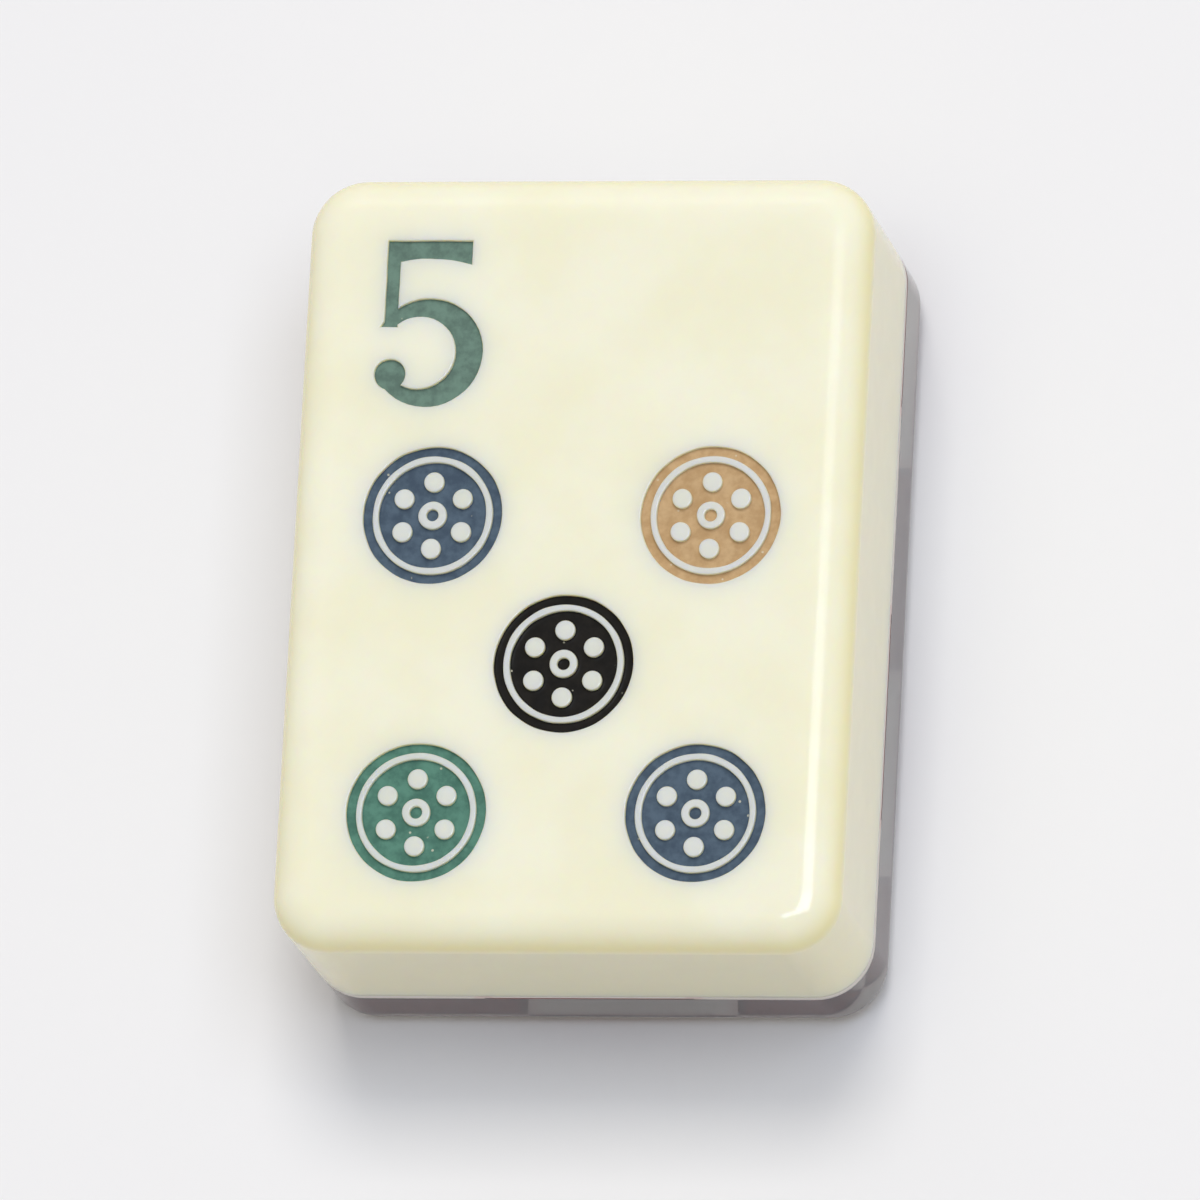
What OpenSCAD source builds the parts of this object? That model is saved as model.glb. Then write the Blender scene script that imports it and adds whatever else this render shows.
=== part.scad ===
/* [Tile] */
// Width of the tile
tile_w = 22; // [20:0.5:26]
// Length of the tile
tile_l = 30.5; // [29:0.5:36]
// Thickness of the whole tile
tile_t = 12.5; // [11:0.5:15]
// Thickness of the printed film between the two blocks
film_t = 0.3; // [0.2:0.05:0.5]
// Thickness of the clear back block
clear_t = 4.2; // [3:0.1:6]
// Radius of the four upright corners
corner_r = 2.2; // [1.8:0.1:3]
// Rounding along the edges of the face
face_edge_r = 1.4; // [0.8:0.1:1.7]
// Rounding along the edges of the back
back_edge_r = 1.5; // [0.8:0.1:1.7]

/* [Check print] */
// Side of one printed square
check_size = 8.2; // [7:0.1:9]
// Gap between two dark squares where their corners meet
check_gap = 0.06; // [0.04:0.01:0.2]
// Depth of the dark ink in the film
ink_t = 0.1; // [0.05:0.01:0.15]

/* [Engraving] */
// Depth of the engraved marks
engrave_depth = 0.5; // [0.4:0.05:0.8]
// Thickness of the paint in the marks
paint_t = 0.35; // [0.2:0.05:0.4]
// Distance from the left and right edges to the marks
side_margin = 2.9; // [2.5:0.1:3.5]
// Distance from the top edge to the numeral
top_margin = 2.7; // [2.5:0.1:3.5]
// Distance from the bottom edge to the lowest circles
bottom_margin = 2.5; // [2.5:0.1:3.5]
// Distance from the numeral down to the highest circles
mark_gap = 1.6; // [1:0.1:2]

/* [Numeral] */
// Height of the numeral
numeral_h = 6.6; // [6:0.1:7]
// Diameter of its round bowl
bowl_d = 4.3; // [4:0.1:4.6]
// Stroke on the right of the bowl, where it is thickest
bowl_stroke = 1.05; // [0.8:0.05:1.2]
// Stroke on the left of the bowl, where it is thinnest
hair_stroke = 0.36; // [0.3:0.02:0.5]
// Width of the upright stem
stem_w = 0.5; // [0.4:0.05:0.6]
// Distance from the left of the bowl to the stem
stem_inset = 0.4; // [0.3:0.05:0.5]
// Width of the top bar
bar_w = 3.3; // [3:0.1:3.6]
// Height of the top bar at its ends
bar_h = 0.95; // [0.7:0.05:1.1]
// How far the underside of the bar arches up
bar_arch = 0.25; // [0.1:0.05:0.35]
// Diameter of the ball that ends the bowl
ball_d = 1.2; // [1:0.05:1.4]

/* [Circles] */
// Diameter of one circle mark
circle_d = 5.4; // [4.8:0.1:5.6]
// Width of its outer ring
ring_w = 0.36; // [0.3:0.02:0.5]
// Bare gap between the ring and the disc inside it
ring_gap = 0.26; // [0.2:0.02:0.36]
// Diameter of the bare spot in the middle of the disc
hub_d = 1.1; // [1:0.05:1.2]
// Diameter of the painted eye in that spot
eye_d = 0.46; // [0.3:0.02:0.6]
// Diameter of one bare petal dot in the disc
petal_d = 0.78; // [0.6:0.02:0.84]
// Number of petal dots
petal_count = 6; // [4:1:7]

/* [Hidden] */
$fn = 96;

// Overrun of every cut
over = 0.2;

// Levels, from the resting face of the clear back up to the face
film_z = clear_t;
front_z = film_z + film_t;
face_z = tile_t;
pocket_z = face_z - engrave_depth;
// The ivory front block takes what the film and the clear back leave
front_t = face_z - front_z;

// Borders of the printed squares, from the lowest to the highest. The outer ones run past the edge.
outer_column = tile_w / 2 + over;
outer_row = tile_l / 2 + over;
column_borders = [-outer_column, -check_size / 2, check_size / 2, outer_column];
row_borders = [-outer_row, -check_size, 0, check_size, outer_row];

// Bowl of the numeral: a round hole set to the left in a disc
bowl_hole_d = bowl_d - bowl_stroke - hair_stroke;
bowl_hole_x = hair_stroke + bowl_hole_d / 2;
stem_foot_share = 0.74;
ball_x_share = 0.6;
ball_y_share = 0.3;
stem_foot_y = bowl_d * stem_foot_share;
ball_x = ball_d * ball_x_share;
ball_y = bowl_d * ball_y_share;
bar_arch_r = (bar_w * bar_w / 4 + bar_arch * bar_arch) / (2 * bar_arch);

// The disc inside the ring, and the orbit of its petal dots, midway to its edge
disc_r = circle_d / 2 - ring_w - ring_gap;
petal_orbit_r = (disc_r + hub_d / 2) / 2;

// Places of the marks on the face
numeral_x = -tile_w / 2 + side_margin;
numeral_y = tile_l / 2 - top_margin - numeral_h;
column_x = tile_w / 2 - side_margin - circle_d / 2;
upper_y = numeral_y - mark_gap - circle_d / 2;
lower_y = -tile_l / 2 + bottom_margin + circle_d / 2;
middle_y = (upper_y + lower_y) / 2;
blue_places = [[-column_x, upper_y], [column_x, lower_y]];
tan_places = [[column_x, upper_y]];
black_places = [[0, middle_y]];
green_places = [[-column_x, lower_y]];
circle_places = concat(blue_places, tan_places, black_places, green_places);

// Section through the rim of a block, from the axis of its corner outwards
module rim_section(height, edge_r) {
    square([corner_r, height - edge_r]);
    square([corner_r - edge_r, height]);
    translate([corner_r - edge_r, height - edge_r])
        intersection() {
            circle(r = edge_r);
            square([edge_r, edge_r]);
        }
}

// One straight side of a block, running along Y
module rim_bar(length, height, edge_r) {
    translate([0, length / 2, 0])
        rotate([90, 0, 0])
            linear_extrude(height = length)
                rim_section(height, edge_r);
}

// Block with round upright corners and round upper edges, standing on Z = 0
module rounded_block(height, edge_r) {
    core_w = tile_w - 2 * corner_r;
    core_l = tile_l - 2 * corner_r;
    translate([-core_w / 2, -core_l / 2, 0])
        cube([core_w, core_l, height]);
    for (turn = [0, 180])
        rotate([0, 0, turn]) {
            translate([core_w / 2, 0, 0])
                rim_bar(core_l, height, edge_r);
            translate([0, core_l / 2, 0])
                rotate([0, 0, 90])
                    rim_bar(core_w, height, edge_r);
            translate([core_w / 2, core_l / 2, 0])
                rotate_extrude(angle = 90)
                    rim_section(height, edge_r);
            translate([-core_w / 2, core_l / 2, 0])
                rotate([0, 0, 90])
                    rotate_extrude(angle = 90)
                        rim_section(height, edge_r);
        }
}

// Plain sheet with the outline of the tile, standing on Z = 0
module sheet(thickness) {
    core_w = tile_w - 2 * corner_r;
    core_l = tile_l - 2 * corner_r;
    translate([-core_w / 2, -tile_l / 2, 0])
        cube([core_w, tile_l, thickness]);
    translate([-tile_w / 2, -core_l / 2, 0])
        cube([tile_w, core_l, thickness]);
    for (x = [-core_w / 2, core_w / 2], y = [-core_l / 2, core_l / 2])
        translate([x, y, 0])
            cylinder(r = corner_r, h = thickness);
}

// The dark squares as blocks, from low to high
module dark_squares(low, high) {
    for (column = [0:2], row = [0:3])
        if ((column + row) % 2 == 1)
            translate([column_borders[column] + check_gap / 2, row_borders[row] + check_gap / 2, low])
                cube([
                    column_borders[column + 1] - column_borders[column] - check_gap,
                    row_borders[row + 1] - row_borders[row] - check_gap,
                    high - low
                ]);
}

// Outline of the numeral five, with its lower left corner at the origin
module numeral_outline() {
    difference() {
        translate([bowl_d / 2, bowl_d / 2])
            circle(d = bowl_d);
        translate([bowl_hole_x, bowl_d / 2])
            circle(d = bowl_hole_d);
        translate([-over, ball_y])
            square([bowl_hole_x + over, stem_foot_y - ball_y]);
    }
    translate([ball_x, ball_y])
        circle(d = ball_d);
    translate([stem_inset, stem_foot_y])
        square([stem_w, numeral_h - stem_foot_y]);
    translate([stem_inset, numeral_h - bar_h])
        difference() {
            square([bar_w, bar_h]);
            translate([bar_w / 2, bar_arch - bar_arch_r])
                circle(r = bar_arch_r);
        }
}

// Outline of one circle mark: a ring round a disc with a bare spot, an eye and bare petal dots
module circle_outline() {
    difference() {
        circle(d = circle_d);
        circle(r = circle_d / 2 - ring_w);
    }
    difference() {
        circle(r = disc_r);
        circle(d = hub_d);
        for (petal = [0:petal_count - 1])
            rotate(360 * petal / petal_count)
                translate([0, petal_orbit_r])
                    circle(d = petal_d);
    }
    circle(d = eye_d);
}

// The numeral in its place, as deep as asked
module numeral_mark(depth) {
    translate([numeral_x, numeral_y, pocket_z])
        linear_extrude(height = depth)
            numeral_outline();
}

// Circle marks in their places, as deep as asked
module circle_marks(places, depth) {
    for (place = places)
        translate([place.x, place.y, pocket_z])
            linear_extrude(height = depth)
                circle_outline();
}

module ivory_front() {
    color("ivory")
        difference() {
            translate([0, 0, front_z])
                rounded_block(front_t, face_edge_r);
            numeral_mark(engrave_depth + over);
            circle_marks(circle_places, engrave_depth + over);
        }
}

module pattern_film() {
    color("whitesmoke")
        difference() {
            translate([0, 0, film_z])
                sheet(film_t);
            dark_squares(film_z - over, film_z + ink_t);
        }
}

module check_ink() {
    color("maroon")
        intersection() {
            translate([0, 0, film_z])
                sheet(film_t);
            dark_squares(film_z, film_z + ink_t);
        }
}

module clear_back() {
    color("lightcyan", 0.35)
        translate([0, 0, clear_t])
            mirror([0, 0, 1])
                rounded_block(clear_t, back_edge_r);
}

module numeral_paint() {
    color([0.29, 0.49, 0.43])
        numeral_mark(paint_t);
}

module blue_circle_paint() {
    color([0.29, 0.37, 0.51])
        circle_marks(blue_places, paint_t);
}

module tan_circle_paint() {
    color([0.86, 0.68, 0.49])
        circle_marks(tan_places, paint_t);
}

module black_circle_paint() {
    color([0.13, 0.11, 0.11])
        circle_marks(black_places, paint_t);
}

module green_circle_paint() {
    color([0.25, 0.51, 0.43])
        circle_marks(green_places, paint_t);
}

ivory_front();
pattern_film();
check_ink();
clear_back();
numeral_paint();
blue_circle_paint();
tan_circle_paint();
black_circle_paint();
green_circle_paint();
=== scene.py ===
"""Looks of the mahjong tile: an ivory front with painted marks, a check print and a clear back."""

import math

import bpy
import numpy as np
from mathutils import Matrix, Vector, noise
from mathutils.geometry import delaunay_2d_cdt


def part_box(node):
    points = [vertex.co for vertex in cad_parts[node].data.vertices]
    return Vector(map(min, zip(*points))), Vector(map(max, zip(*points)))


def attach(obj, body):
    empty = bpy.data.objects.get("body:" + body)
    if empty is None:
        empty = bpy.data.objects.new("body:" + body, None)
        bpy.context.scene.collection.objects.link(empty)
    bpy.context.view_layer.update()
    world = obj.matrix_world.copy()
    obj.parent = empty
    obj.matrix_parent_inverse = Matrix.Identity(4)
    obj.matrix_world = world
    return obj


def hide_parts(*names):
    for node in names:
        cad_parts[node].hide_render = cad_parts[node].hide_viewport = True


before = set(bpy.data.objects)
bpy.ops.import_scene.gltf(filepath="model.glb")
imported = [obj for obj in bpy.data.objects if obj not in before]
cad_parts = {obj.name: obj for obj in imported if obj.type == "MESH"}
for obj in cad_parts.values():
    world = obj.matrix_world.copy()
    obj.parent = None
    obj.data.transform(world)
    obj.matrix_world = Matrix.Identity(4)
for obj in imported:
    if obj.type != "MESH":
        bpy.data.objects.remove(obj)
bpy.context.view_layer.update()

MM = 0.001
RIGHT_ANGLE = math.radians(90)

# Both parts of a normal that leans by 45 degrees
BEVEL = math.sqrt(0.5)

# Shape of the blocks, as in the solids
CORNER_R = 2.2 * MM
FACE_EDGE_R = 1.4 * MM
BACK_EDGE_R = 1.5 * MM

# Fineness of the round stretches, in steps for a quarter turn
CORNER_STEPS = 28
EDGE_STEPS = 24
RIM_STEPS = 5

# Fineness of the marks: how far a chord may stray from its circle, and the longest edge of a border
FLATNESS = 0.001 * MM
LONGEST_EDGE = 0.15 * MM

# Slack in reading the solids: for points that are one, for a level face, and for a loop that is a circle
WELD_SLACK = 0.0005 * MM
LEVEL_SLACK = 0.001 * MM
ROUND_SLACK = 0.003 * MM

# Corners of the marks: the turn that makes a crease, and the least divisor, which keeps miters short
SHARP_TURN = math.radians(30)
LEAST_MITER_DIVISOR = 0.5

# Points closer than this are merged where a face is cut into triangles
MERGE_SLACK = 1e-9

# A polished edge opens out: past a slope of EASE_START its radius grows, at the flat by EASE_SHARE
EASE_SHARE = 0.5
EASE_START = math.radians(55)

# Chamfers at the bond. The clear block sinks into the film, so that no air lies between them
BOND_CHAMFER = 0.05 * MM
SINK = 0.03 * MM

# Rounded rims of the marks, and the wobble of the hand that cut them
RIM_R = 0.07 * MM
WOBBLE = 0.018 * MM
WOBBLE_SIZE = 0.7 * MM
WOBBLE_SLICE = 0.37 * MM

# Paint in the engraving: it climbs the walls and dips between them
PAINT_OVERLAP = 0.012 * MM
PAINT_DIP = 0.06 * MM
PAINT_RIPPLE = 0.012 * MM
PAINT_RIPPLE_SIZE = 0.45 * MM

# Points of the paint's top: rows at these distances from the border, and a loose grid between them
PAINT_INSETS = [0.03 * MM, 0.07 * MM, 0.12 * MM]
ROW_KEEP_SHARE = 0.95
PAINT_GRID = 0.13 * MM
GRID_STRAY_SHARE = 0.3
GRID_GAP_SHARE = 0.4

# Levels and half sizes, from the solids in model.glb
ivory_low, ivory_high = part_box("ivory_front")
clear_low, clear_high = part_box("clear_back")
paint_low, paint_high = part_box("numeral_paint")
HALF_W = ivory_high.x
HALF_L = ivory_high.y
FACE_Z = ivory_high.z
FRONT_Z = ivory_low.z
FILM_Z = clear_high.z
POCKET_Z = paint_low.z
PAINT_Z = paint_high.z

# Borders between the printed squares
CHECK_SIZE = 8.2 * MM
COLUMN_BORDERS = [-CHECK_SIZE / 2, CHECK_SIZE / 2]
ROW_BORDERS = [-CHECK_SIZE, 0.0, CHECK_SIZE]

rng = np.random.default_rng(seed=5)


# Outlines: closed rows of points in the plane, with the painted side on the left


def welded_loops(node, z):
    """The closed border loops of a node's flat faces at level z, as rows of points."""
    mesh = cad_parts[node].data
    index, points, number = {}, [], []
    for vertex in mesh.vertices:
        key = tuple(round(c / WELD_SLACK) for c in vertex.co)
        if key not in index:
            index[key] = len(points)
            points.append((vertex.co.x, vertex.co.y))
        number.append(index[key])
    count = {}
    for face in mesh.polygons:
        if all(abs(mesh.vertices[v].co.z - z) < LEVEL_SLACK for v in face.vertices):
            corners = [number[v] for v in face.vertices]
            for a, b in zip(corners, corners[1:] + corners[:1]):
                count[(a, b)] = count.get((a, b), 0) + 1
    following = {a: b for a, b in count if (b, a) not in count}
    loops = []
    while following:
        start, here = following.popitem()
        loop = [start]
        while here != start:
            loop.append(here)
            here = following.pop(here)
        loops.append(np.array([points[i] for i in loop]))
    return loops


def signed_area(loop):
    """The area inside a loop, above zero if it runs counterclockwise."""
    x, y = loop.T
    return 0.5 * float(np.sum(x * np.roll(y, -1) - y * np.roll(x, -1)))


def rounded_up(loop):
    """The same loop with points that keep it flat within FLATNESS, if it is a circle."""
    centre = loop.mean(0)
    radii = np.hypot(*(loop - centre).T)
    if np.ptp(radii) > ROUND_SLACK:
        return loop
    count = math.ceil(math.pi * math.sqrt(radii.max() / (2 * FLATNESS)))
    turn = math.copysign(2 * math.pi, signed_area(loop))
    angles = np.linspace(0, turn, count, endpoint=False)
    return centre + radii.max() * np.column_stack([np.cos(angles), np.sin(angles)])


def subdivided(loop, step):
    """The same loop with no edge longer than step."""
    rows = []
    for a, b in zip(loop, np.roll(loop, -1, axis=0)):
        pieces = max(1, math.ceil(np.hypot(*(b - a)) / step))
        rows += [a + (b - a) * k / pieces for k in range(pieces)]
    return np.array(rows)


def edge_normals(loop):
    """Unit normal of each edge, towards the bare side on the right."""
    along = np.roll(loop, -1, axis=0) - loop
    along /= np.hypot(*along.T)[:, None]
    return np.column_stack([along[:, 1], -along[:, 0]])


def miters(loop):
    """For each point, the move that shifts both its edges outwards by one."""
    after = edge_normals(loop)
    before = np.roll(after, 1, axis=0)
    both = before + after
    return both / np.maximum(LEAST_MITER_DIVISOR, 1 + np.sum(before * after, axis=1))[:, None]


def corner_normals(loop):
    """Normals of each edge at its two ends, smooth except at sharp corners."""
    after = edge_normals(loop)
    before = np.roll(after, 1, axis=0)
    smooth = before + after
    smooth /= np.hypot(*smooth.T)[:, None]
    sharp = np.sum(before * after, axis=1) < math.cos(SHARP_TURN)
    start = np.where(sharp[:, None], after, smooth)
    end = np.roll(np.where(sharp[:, None], before, smooth), -1, axis=0)
    return start, end


def wobbled(loop):
    """The loop as a hand-guided cutter leaves it."""
    moved = []
    for (x, y), (nx, ny) in zip(loop, miters(loop)):
        shift = WOBBLE * noise.noise(Vector((x, y, WOBBLE_SLICE)) / WOBBLE_SIZE)
        moved.append((x + nx * shift, y + ny * shift))
    return np.array(moved)


def mark_loops(node):
    """The borders of the marks that a paint fills, as the cutter leaves them."""
    return [wobbled(subdivided(rounded_up(loop), LONGEST_EDGE)) for loop in welded_loops(node, PAINT_Z)]


def inside(loops, points):
    """Which points lie inside the loops, by the even-odd rule."""
    found = np.zeros(len(points), bool)
    x, y = points[:, :1], points[:, 1:]
    for loop in loops:
        (ax, ay), (bx, by) = loop.T, np.roll(loop, -1, axis=0).T
        straddles = (ay > y) != (by > y)
        rise = np.where(by == ay, 1.0, by - ay)
        left = x < ax + (y - ay) / rise * (bx - ax)
        found ^= np.sum(straddles & left, axis=1) % 2 == 1
    return found


def islands(loops):
    """The loops in groups: each outer border with the holes in it."""
    outers = sorted((loop for loop in loops if signed_area(loop) > 0), key=signed_area)
    groups = [[outer] for outer in outers]
    for hole in loops:
        if signed_area(hole) < 0:
            next(group for group in groups if inside(group[:1], hole[:1])[0]).append(hole)
    return groups


def border_distance(loops, points):
    """Distance from each point to the nearest border."""
    nearest = np.full(len(points), np.inf)
    for loop in loops:
        along = np.roll(loop, -1, axis=0) - loop
        gap = points[:, None] - loop
        share = np.clip(np.sum(gap * along, axis=2) / np.sum(along**2, axis=1), 0, 1)
        gap = gap - share[..., None] * along
        nearest = np.minimum(nearest, np.hypot(gap[..., 0], gap[..., 1]).min(axis=1))
    return nearest


# Meshes


class Shell:
    """A mesh in the making, with a normal at every corner of every face."""

    def __init__(self):
        self.points = []
        self.faces = []
        self.normals = []

    def ring(self, flat_points, z):
        """Adds points at level z, or at a level each, and returns their numbers."""
        first = len(self.points)
        levels = np.broadcast_to(z, len(flat_points))
        self.points += [(float(x), float(y), float(h)) for (x, y), h in zip(flat_points, levels)]
        return list(range(first, len(self.points)))

    def face(self, corners, normals):
        """Adds a face with a normal at each corner."""
        self.faces.append(corners)
        self.normals += normals

    def band(self, lower, upper, lower_normals, upper_normals):
        """Quads between two closed rings. Each normals pair holds the edge's start and end."""
        size = len(lower)
        for i in range(size):
            j = (i + 1) % size
            self.face(
                [lower[i], lower[j], upper[j], upper[i]],
                [lower_normals[0][i], lower_normals[1][i], upper_normals[1][i], upper_normals[0][i]],
            )

    def fill(self, rings, z_normal, extra=()):
        """Triangles between rings, by the even-odd rule, with smooth normals. extra are loose points."""
        numbers = [i for ring in rings for i in ring] + list(extra)
        flat = [Vector(self.points[i][:2]) for i in numbers]
        edges, first = [], 0
        for ring in rings:
            edges += [(first + k, first + (k + 1) % len(ring)) for k in range(len(ring))]
            first += len(ring)
        _, _, triangles, originals, _, _ = delaunay_2d_cdt(flat, edges, [], 0, MERGE_SLACK, True)
        corners = np.array([[numbers[originals[v][0]] for v in triangle] for triangle in triangles])
        points = np.array(self.points)
        loops = [points[ring, :2] for ring in rings]
        corners = corners[inside(loops, points[corners, :2].mean(axis=1))]
        a, b, c = points[corners].transpose(1, 0, 2)
        slopes = np.cross(b - a, c - a)
        turned = slopes[:, 2] * z_normal < 0
        corners[turned] = corners[turned, ::-1]
        slopes[turned] *= -1
        normals = np.zeros_like(points)
        for column in corners.T:
            np.add.at(normals, column, slopes)
        for row in corners:
            self.face(row.tolist(), normals[row].tolist())

    def build(self, name, material):
        """Makes the object, with the points that its faces use."""
        used = sorted({i for face in self.faces for i in face})
        place = {old: new for new, old in enumerate(used)}
        mesh = bpy.data.meshes.new(name)
        mesh.from_pydata([self.points[i] for i in used], [], [[place[i] for i in f] for f in self.faces])
        mesh.shade_smooth()
        mesh.normals_split_custom_set([Vector(n).normalized() for n in self.normals])
        mesh.materials.append(material)
        piece = bpy.data.objects.new(name, mesh)
        bpy.context.scene.collection.objects.link(piece)
        return piece


def outline_ring(inset):
    """The tile's outline in the plane, drawn in by inset, counterclockwise."""
    radius = CORNER_R - inset
    points = []
    for quarter in range(4):
        sign_x = (1, -1, -1, 1)[quarter]
        sign_y = (1, 1, -1, -1)[quarter]
        for step in range(CORNER_STEPS + 1):
            angle = RIGHT_ANGLE * (quarter + step / CORNER_STEPS)
            points.append((
                sign_x * (HALF_W - CORNER_R) + radius * math.cos(angle),
                sign_y * (HALF_L - CORNER_R) + radius * math.sin(angle),
            ))
    return points


def outline_normals():
    """Outward direction at the start and at the end of each edge of the outline."""
    start = []
    for quarter in range(4):
        for step in range(CORNER_STEPS + 1):
            angle = RIGHT_ANGLE * (quarter + step / CORNER_STEPS)
            start.append((math.cos(angle), math.sin(angle)))
    return np.array(start), np.roll(start, -1, axis=0)


def tilted(flat_normals, out_share, up_share):
    """Both rows of flat normals, tilted up."""
    return [[(x * out_share, y * out_share, up_share) for x, y in row] for row in flat_normals]


def sweep(shell, profile):
    """Sweeps profile round the outline. A profile row is (inset, z, out, up), where out and up give the
    normal. None makes a crease: the next row is the ring before it again, with another normal."""
    flat = outline_normals()
    previous, rings = None, []
    for row in profile:
        if row is None:
            previous = previous[:1] + (None, None)
            continue
        inset, z, out, up = row
        if previous is not None and previous[1] is None:
            ring = previous[0]
        else:
            ring = shell.ring(outline_ring(inset), z)
            rings.append(ring)
        if previous is not None and previous[1] is not None:
            shell.band(previous[0], ring, tilted(flat, *previous[1:]), tilted(flat, out, up))
        previous = (ring, out, up)
    return rings


def edge_section(radius):
    """Section of a polished edge, radius high, from wall to flat, as rows for sweep with z from 0."""
    turn = RIGHT_ANGLE / EDGE_STEPS
    inset, height = [0.0], [0.0]
    for step in range(EDGE_STEPS):
        angle = turn * (step + 0.5)
        share = max(0.0, (angle - EASE_START) / (RIGHT_ANGLE - EASE_START))
        stride = turn * (1 + EASE_SHARE * share * share * (3 - 2 * share))
        inset.append(inset[-1] + stride * math.sin(angle))
        height.append(height[-1] + stride * math.cos(angle))
    scale = radius / height[-1]
    return [
        (x * scale, z * scale, math.cos(turn * step), math.sin(turn * step))
        for step, (x, z) in enumerate(zip(inset, height))
    ]


def wall_bands(shell, loop, rows):
    """Bands along a mark's wall. A row is (offset, z, out, up), with out towards the painted side."""
    start, end = corner_normals(loop)
    flat = (-start, -end)
    move = miters(loop)
    previous = None
    for offset, z, out, up in rows:
        ring = shell.ring(loop + move * offset, z)
        if previous is not None:
            # The painted side is on the left, so a band from the higher ring to the lower one faces it
            shell.band(previous[0], ring, tilted(flat, *previous[1:]), tilted(flat, out, up))
        else:
            first = ring
        previous = (ring, out, up)
    return first, previous[0]


def mark_wall():
    """Section of a mark's wall, from its rounded rim down to the pocket, as rows for wall_bands."""
    rows = []
    for step in range(RIM_STEPS + 1):
        angle = RIGHT_ANGLE * step / RIM_STEPS
        sine, cosine = math.sin(angle), math.cos(angle)
        rows.append((RIM_R * (1 - sine), FACE_Z - RIM_R * (1 - cosine), sine, cosine))
    rows.append((0, POCKET_Z, 1, 0))
    return rows


def ivory_block(material, loops):
    """The ivory front, with its face edges rounded and the marks engraved in its face."""
    shell = Shell()
    chamfer_z = FRONT_Z + BOND_CHAMFER
    edge_z = FACE_Z - FACE_EDGE_R
    rows = [(BOND_CHAMFER, FRONT_Z, BEVEL, -BEVEL), (0, chamfer_z, BEVEL, -BEVEL)]
    rows += [None, (0, chamfer_z, 1, 0)]
    rows += [(inset, edge_z + z, out, up) for inset, z, out, up in edge_section(FACE_EDGE_R)]
    rings = sweep(shell, rows)
    shell.fill([rings[0]], -1)
    mouths, floors = [], []
    for loop in loops:
        mouth, floor = wall_bands(shell, loop, mark_wall())
        mouths.append(mouth)
        floors.append(floor)
    shell.fill([rings[-1]] + mouths, 1)
    shell.fill(floors, 1)
    return shell.build("ivory_block", material)


def clear_block(material):
    """The clear back, with its lower edges rounded."""
    shell = Shell()
    edge_z = clear_low.z + BACK_EDGE_R
    chamfer_z = FILM_Z - BOND_CHAMFER
    rows = [(inset, edge_z - z, out, -up) for inset, z, out, up in reversed(edge_section(BACK_EDGE_R))]
    rows += [(0, chamfer_z, 1, 0), None]
    rows += [(0, chamfer_z, BEVEL, BEVEL), (BOND_CHAMFER + SINK, FILM_Z + SINK, BEVEL, BEVEL)]
    rings = sweep(shell, rows)
    shell.fill([rings[0]], -1)
    shell.fill([rings[-1]], 1)
    return shell.build("clear_block", material)


def paint_points(loops):
    """Points inside the loops, for the top of the paint."""
    rows = []
    for inset in PAINT_INSETS:
        row = np.concatenate([loop - miters(loop) * inset for loop in loops])
        row = row[inside(loops, row)]
        rows.append(row[border_distance(loops, row) > ROW_KEEP_SHARE * inset])
    everything = np.concatenate(loops)
    sides = [np.arange(low, high, PAINT_GRID) for low, high in zip(everything.min(0), everything.max(0))]
    grid = np.stack(np.meshgrid(*sides), -1).reshape(-1, 2)
    grid += rng.uniform(-GRID_STRAY_SHARE, GRID_STRAY_SHARE, grid.shape) * PAINT_GRID
    grid = grid[inside(loops, grid)]
    grid_inset = PAINT_INSETS[-1] + GRID_GAP_SHARE * PAINT_GRID
    rows.append(grid[border_distance(loops, grid) > grid_inset])
    return np.concatenate(rows)


def paint_levels(loops, points):
    """Heights of the paint's top: it climbs the walls, dips between them and ripples."""
    share = np.clip(border_distance(loops, points) / PAINT_INSETS[-1], 0, 1)
    ripple = np.array([noise.noise(Vector((x, y, 0)) / PAINT_RIPPLE_SIZE) for x, y in points])
    return PAINT_Z - PAINT_DIP * (1 - (1 - share) ** 2) + PAINT_RIPPLE * ripple * share


def enamel(name, material, loops):
    """Paint that fills the marks inside the loops."""
    shell = Shell()
    for island in islands(loops):
        wide = [loop + miters(loop) * PAINT_OVERLAP for loop in island]
        tops, bottoms = [], []
        for loop in wide:
            bottoms.append(shell.ring(loop, POCKET_Z))
            tops.append(shell.ring(loop, PAINT_Z))
            walls = tilted(corner_normals(loop), 1, 0)
            shell.band(bottoms[-1], tops[-1], walls, walls)
        points = paint_points(wide)
        shell.fill(tops, 1, shell.ring(points, paint_levels(wide, points)))
        shell.fill(bottoms, -1)
    return shell.build(name, material)


# Materials

# The span that holds most values of a noise texture
NOISE_SPAN = (0.3, 0.7)


def linear(red, green, blue):
    """A display colour from 0 to 255 as scene-linear shares, with an alpha of 1."""
    shares = [c / 255 for c in (red, green, blue)]
    return tuple(c / 12.92 if c <= 0.04045 else ((c + 0.055) / 1.055) ** 2.4 for c in shares) + (1.0,)


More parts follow.
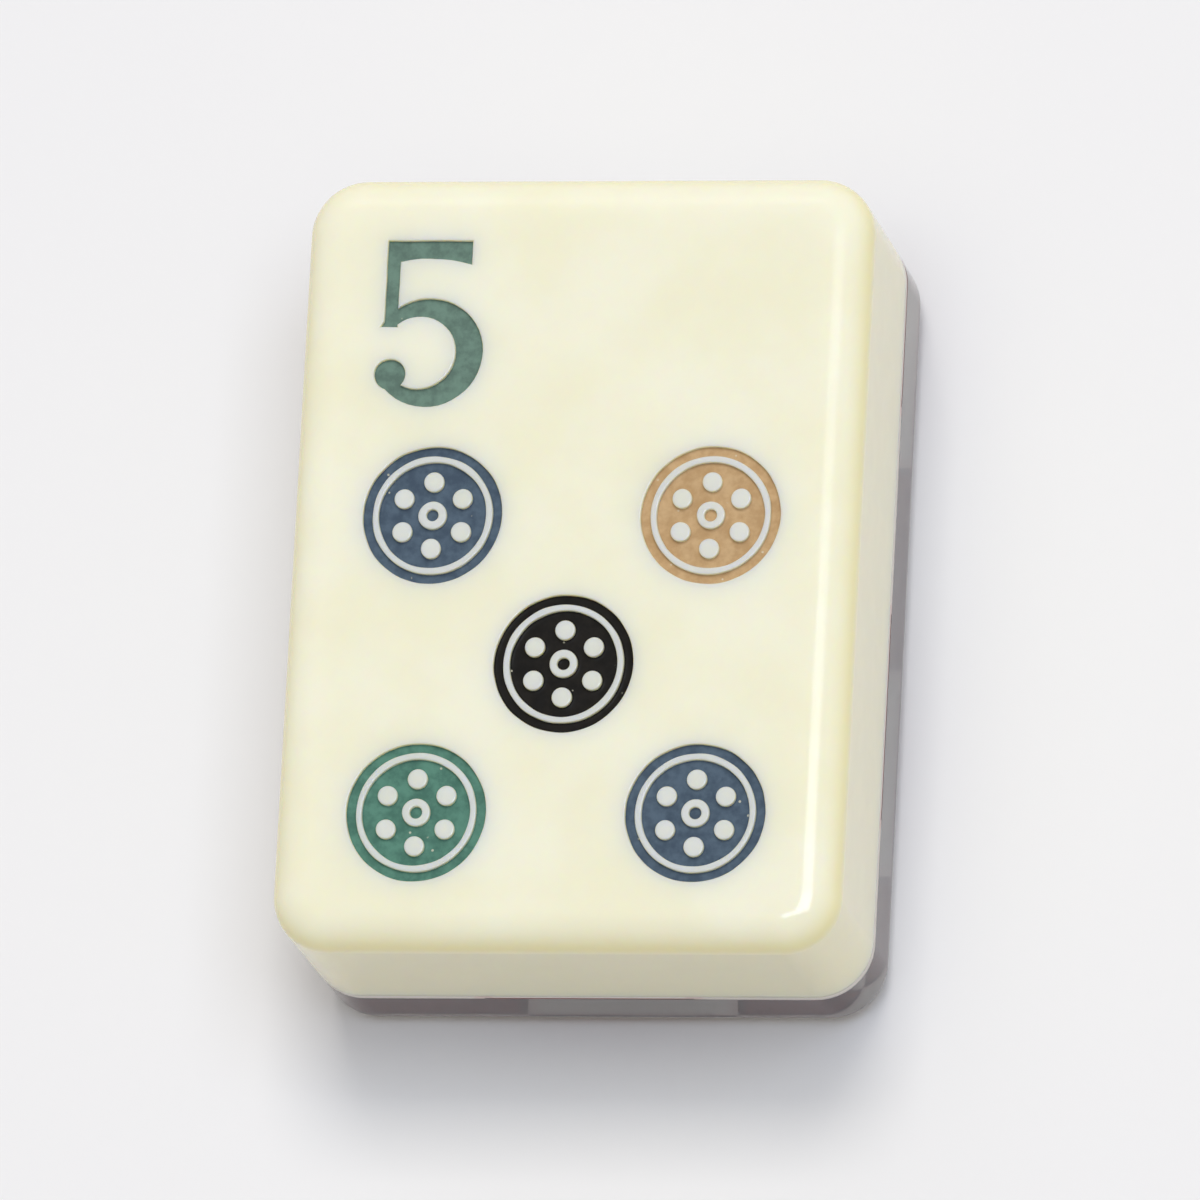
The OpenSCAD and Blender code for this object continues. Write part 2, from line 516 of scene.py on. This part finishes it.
class Finish:
    """A material with one Principled shader, and helpers that add nodes to it. The colour and roughness
    that it starts with stay as plain values beneath the nodes that are linked later."""

    def __init__(self, name, colour, roughness, **sockets):
        self.material = bpy.data.materials.new(name)
        self.material.use_nodes = True
        self.tree = self.material.node_tree
        self.shader = self.tree.nodes["Principled BSDF"]
        self.set("Base Color", colour)
        self.set("Roughness", roughness)
        for socket, value in sockets.items():
            self.set(socket.replace("_", " "), value)
        self.place = self.tree.nodes.new("ShaderNodeTexCoord").outputs["Object"]

    def set(self, socket, value):
        """Gives a socket of the shader a constant, or links it."""
        self.feed(self.shader, socket, value)

    def node(self, kind, **inputs):
        """A new node with these inputs."""
        made = self.tree.nodes.new(kind)
        for name, value in inputs.items():
            self.feed(made, name, value)
        return made

    def feed(self, node, name, value):
        """Gives a socket of a node a constant, or links it."""
        if isinstance(value, bpy.types.NodeSocket):
            self.tree.links.new(value, node.inputs[name])
        else:
            node.inputs[name].default_value = value

    def noise(self, size, detail=3.0, rough=0.5):
        """Noise from 0 to 1, in blobs of about that size in metres."""
        sockets = {"Vector": self.place, "Scale": 1 / size, "Detail": detail, "Roughness": rough}
        return self.node("ShaderNodeTexNoise", **sockets).outputs["Fac"]

    def ranged(self, value, low, high, to_low=0.0, to_high=1.0):
        """value, moved smoothly from the span low to high to the span to_low to to_high."""
        made = self.node("ShaderNodeMapRange")
        made.interpolation_type = "SMOOTHSTEP"
        names = ("Value", "From Min", "From Max", "To Min", "To Max")
        for name, amount in zip(names, (value, low, high, to_low, to_high)):
            self.feed(made, name, amount)
        return made.outputs["Result"]

    def math(self, operation, first, second=0.0):
        """The result of a sum on two values, or on the first alone."""
        made = self.tree.nodes.new("ShaderNodeMath")
        made.operation = operation
        for slot, amount in enumerate((first, second)):
            self.feed(made, slot, amount)
        return made.outputs["Value"]

    def mix(self, share, first, second):
        """A colour between first and second."""
        made = self.tree.nodes.new("ShaderNodeMix")
        made.data_type = "RGBA"
        self.feed(made, 0, share)
        colour_inputs = [number for number, socket in enumerate(made.inputs) if socket.type == "RGBA"]
        for number, colour in zip(colour_inputs, (first, second)):
            self.feed(made, number, colour)
        return next(socket for socket in made.outputs if socket.type == "RGBA")

    def bump(self, height, depth):
        """A bump of that depth in metres, where height runs from 0 to 1."""
        return self.node("ShaderNodeBump", Height=height, Distance=depth).outputs["Normal"]


def ivory_plastic():
    """Cream moulded plastic, polished, faintly clouded, scattering light inside, with painted shade on
    edges and sides.
    """
    pale, deep = linear(245, 244, 222), linear(242, 240, 213)
    # Painted shade and bounce light: yellower, darker tones for the rounded edges and the upright sides
    painted_edge_shade, painted_wall_shade = linear(243, 236, 186), linear(244, 239, 204)
    cloud_size, polish_size, wave_size, wave_depth = 4 * MM, 1.6 * MM, 5 * MM, 0.012 * MM
    finish = Finish("ivory_plastic", pale, 0.14, IOR=1.58, Subsurface_Weight=0.75)
    finish.set("Subsurface Scale", 1.2 * MM)
    finish.set("Subsurface Radius", (1.0, 0.82, 0.45))
    face = finish.mix(finish.ranged(finish.noise(cloud_size), *NOISE_SPAN), pale, deep)
    normal = finish.node("ShaderNodeTexCoord").outputs["Normal"]
    up = finish.node("ShaderNodeSeparateXYZ", Vector=normal).outputs["Z"]
    # Painted shade: the colour turns from the face's cream to these tones as the surface tilts away from
    # the face
    painted_slope_shade = finish.mix(finish.ranged(up, 0.0, 0.4), painted_wall_shade, painted_edge_shade)
    finish.set("Base Color", finish.mix(finish.ranged(up, 0.25, 0.97), painted_slope_shade, face))
    finish.set("Roughness", finish.ranged(finish.noise(polish_size), *NOISE_SPAN, 0.11, 0.17))
    finish.set("Normal", finish.bump(finish.noise(wave_size, 1.0), wave_depth))
    return finish.material


def enamel_paint(name, light, dark):
    """Satin paint brushed into the engraving, mottled, with pale flecks painted in as glints."""
    painted_glint_colour, painted_glint_share = linear(214, 212, 190), 0.7
    mottle_size, glint_spacing, glint_patch_size = 0.5 * MM, 0.5 * MM, 0.9 * MM
    sheen_size, stroke_size, stroke_depth = 0.3 * MM, 0.18 * MM, 0.008 * MM
    finish = Finish(name, light, 0.4, IOR=1.5, Specular_IOR_Level=0.12)
    mottle = finish.ranged(finish.noise(mottle_size, 5.0, 0.6), 0.32, 0.68)
    colour = finish.mix(mottle, dark, light)
    # Painted highlight: pale flecks in the colour stand for glints off the engraving's floor
    cells = finish.node("ShaderNodeTexVoronoi", Vector=finish.place, Scale=1 / glint_spacing)
    spot = finish.ranged(cells.outputs["Distance"], 0.07, 0.13, 1.0, 0.0)
    rare = finish.ranged(finish.noise(glint_patch_size, 2.0), 0.55, 0.62)
    painted_glint = finish.math("MULTIPLY", spot, rare)
    finish.set("Base Color", finish.mix(finish.math("MULTIPLY", painted_glint, painted_glint_share), colour, painted_glint_colour))
    finish.set("Roughness", finish.ranged(finish.noise(sheen_size, 4.0), *NOISE_SPAN, 0.3, 0.5))
    finish.set("Normal", finish.bump(finish.noise(stroke_size, 4.0), stroke_depth))
    return finish.material


def clear_acrylic():
    """Polished clear acrylic, with faint waves in its faces."""
    wave_size, wave_depth = 7 * MM, 0.012 * MM
    finish = Finish("clear_acrylic", (0.975, 0.985, 0.98, 1), 0.0, Transmission_Weight=1.0, IOR=1.49)
    finish.set("Normal", finish.bump(finish.noise(wave_size, 1.0), wave_depth))
    return finish.material


def square_borders(finish):
    """Distance in metres from the nearest border of the printed squares."""
    axes = finish.node("ShaderNodeSeparateXYZ", Vector=finish.place)
    gaps = []
    for axis, places in (("X", COLUMN_BORDERS), ("Y", ROW_BORDERS)):
        for place in places:
            offset = finish.math("SUBTRACT", axes.outputs[axis], place)
            gaps.append(finish.math("ABSOLUTE", offset))
    nearest = gaps[0]
    for gap in gaps[1:]:
        nearest = finish.math("MINIMUM", nearest, gap)
    return nearest


def printed(name, middle, border, mottled):
    """Print seen through the clear back, with a line of another tone along the squares' borders."""
    mottle_size, sheen_size, line_full, line_end = 0.3 * MM, 0.2 * MM, 0.25 * MM, 0.45 * MM
    finish = Finish(name, middle, 0.55, Specular_IOR_Level=0.15)
    colour = finish.mix(finish.ranged(finish.noise(mottle_size, 5.0, 0.7), 0.3, 0.75), middle, mottled)
    line = finish.ranged(square_borders(finish), line_full, line_end, 1.0, 0.0)
    finish.set("Base Color", finish.mix(line, colour, border))
    finish.set("Roughness", finish.ranged(finish.noise(sheen_size), *NOISE_SPAN, 0.5, 0.65))
    return finish.material


# The object


def dress(piece, node):
    """piece stands for a CAD node: the node is hidden and piece rides the root body."""
    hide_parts(node)
    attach(piece, "root")


# Name, light tone and dark tone of the paint in each node
ENAMELS = {
    "numeral_paint": ("teal", linear(110, 138, 125), linear(91, 114, 104)),
    "blue_circle_paint": ("blue", linear(84, 101, 117), linear(66, 81, 97)),
    "tan_circle_paint": ("tan", linear(198, 168, 127), linear(180, 148, 107)),
    "black_circle_paint": ("black", linear(27, 24, 20), linear(16, 14, 11)),
    "green_circle_paint": ("green", linear(90, 136, 120), linear(70, 111, 98)),
}

marks = {node: mark_loops(node) for node in ENAMELS}
all_loops = [loop for loops in marks.values() for loop in loops]
dress(ivory_block(ivory_plastic(), all_loops), "ivory_front")
dress(clear_block(clear_acrylic()), "clear_back")
for node, (tint, light, dark) in ENAMELS.items():
    piece_name = node.replace("paint", "enamel")
    paint = enamel_paint(tint + "_enamel", light, dark)
    dress(enamel(piece_name, paint, marks[node]), node)

film_white = printed("film_white", linear(230, 225, 219), linear(224, 207, 202), linear(225, 219, 212))
ink_maroon = printed("ink_maroon", linear(130, 51, 47), linear(84, 24, 30), linear(121, 44, 41))
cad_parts["pattern_film"].material_slots[0].material = film_white
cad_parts["check_ink"].material_slots[0].material = ink_maroon

# Stage, light and camera

# The floor lies a little under the tile, so that there is air between it and the clear back
FLOOR_HALF = 3.0
FLOOR_Z = -0.04 * MM

# Distances from the tile, the width of the picture there, and the direction from it to the camera
LAMP_DISTANCE = 4.0
CAMERA_DISTANCE = 0.75
FIELD = 46 * MM
TO_CAMERA = Vector((0.196, -0.258, 0.946)).normalized()

# Colours of the background, the sky, the window and the lamps
PALE = (0.87, 0.87, 0.875, 1)
SKY_COLOUR = (1.07, 1.0, 0.91, 1)
SKY_STRENGTH = 0.36
WARM = (1.04, 1.0, 0.95)
COOL = (0.88, 0.98, 1.18)


def add_floor():
    """A pale floor under the tile."""
    mesh = bpy.data.meshes.new("floor")
    corners = [(x * FLOOR_HALF, y * FLOOR_HALF, FLOOR_Z) for x, y in ((-1, -1), (1, -1), (1, 1), (-1, 1))]
    mesh.from_pydata(corners, [], [(0, 1, 2, 3)])
    floor = bpy.data.objects.new("floor", mesh)
    mesh.materials.append(Finish("floor_white", PALE, 0.6).material)
    bpy.context.scene.collection.objects.link(floor)


def add_world():
    """A sky that lights the tile, and a pale background for the camera, in gloss and through glass."""
    world = bpy.data.worlds.new("studio")
    bpy.context.scene.world = world
    world.use_nodes = True
    nodes, links = world.node_tree.nodes, world.node_tree.links
    sky = nodes["Background"]
    sky.inputs["Color"].default_value = SKY_COLOUR
    sky.inputs["Strength"].default_value = SKY_STRENGTH
    backdrop = nodes.new("ShaderNodeBackground")
    backdrop.inputs["Color"].default_value = PALE
    backdrop.inputs["Strength"].default_value = 1.0
    path = nodes.new("ShaderNodeLightPath")
    seen = path.outputs["Is Camera Ray"]
    for kind in ("Is Glossy Ray", "Is Transmission Ray"):
        either = nodes.new("ShaderNodeMath")
        either.operation = "MAXIMUM"
        links.new(seen, either.inputs[0])
        links.new(path.outputs[kind], either.inputs[1])
        seen = either.outputs[0]
    mix = nodes.new("ShaderNodeMixShader")
    links.new(seen, mix.inputs[0])
    links.new(sky.outputs[0], mix.inputs[1])
    links.new(backdrop.outputs[0], mix.inputs[2])
    links.new(mix.outputs[0], nodes["World Output"].inputs["Surface"])


def facing(direction):
    """The turn of a lamp or camera that looks at the tile from that direction, with level sides."""
    back = Vector(direction).normalized()
    right = (Vector((1, 0, 0)) - back * back.x).normalized()
    return Matrix((right, back.cross(right), back)).transposed()


def soft_box(name, direction, across, along, share, colour=(1, 1, 1)):
    """A lamp that faces the tile. across and along are its width and height as shares of the distance,
    and share is its part of the light on a level surface."""
    data = bpy.data.lights.new(name, "AREA")
    data.color = colour
    data.shape = "RECTANGLE"
    data.size = across * LAMP_DISTANCE
    data.size_y = along * LAMP_DISTANCE
    away = Vector(direction).normalized()
    data.energy = share * (math.pi * LAMP_DISTANCE) ** 2 / away.z
    lamp = bpy.data.objects.new(name, data)
    lamp.matrix_world = Matrix.Translation(away * LAMP_DISTANCE) @ facing(away).to_4x4()
    bpy.context.scene.collection.objects.link(lamp)
    return lamp


def add_lamps():
    """A window with no reflection in the polished face, two lamps with one, and a weak panel behind."""
    window = soft_box("window", (0.05, 0.36, 0.93), across=0.34, along=0.26, share=0.33, colour=WARM)
    window.visible_glossy = False
    soft_box("ceiling_lamp", (0.265, 0.03, 0.97), across=0.43, along=0.46, share=0.27, colour=COOL)
    soft_box("small_lamp", (-0.05, -0.125, 0.99), across=0.17, along=0.15, share=0.035, colour=COOL)
    soft_box("sky_panel", (-0.2, 0.65, 0.73), across=0.6, along=0.3, share=0.025)


def add_camera():
    """A camera at the photograph's viewing angle."""
    data = bpy.data.cameras.new("camera")
    camera = bpy.data.objects.new("camera", data)
    bpy.context.scene.collection.objects.link(camera)
    place = Vector((0, 0, FACE_Z / 2)) + TO_CAMERA * CAMERA_DISTANCE
    camera.matrix_world = Matrix.Translation(place) @ facing(TO_CAMERA).to_4x4()
    data.lens = data.sensor_width * CAMERA_DISTANCE / FIELD
    bpy.context.scene.camera = camera


add_floor()
add_world()
add_lamps()
add_camera()
bpy.context.scene.view_settings.view_transform = "Standard"
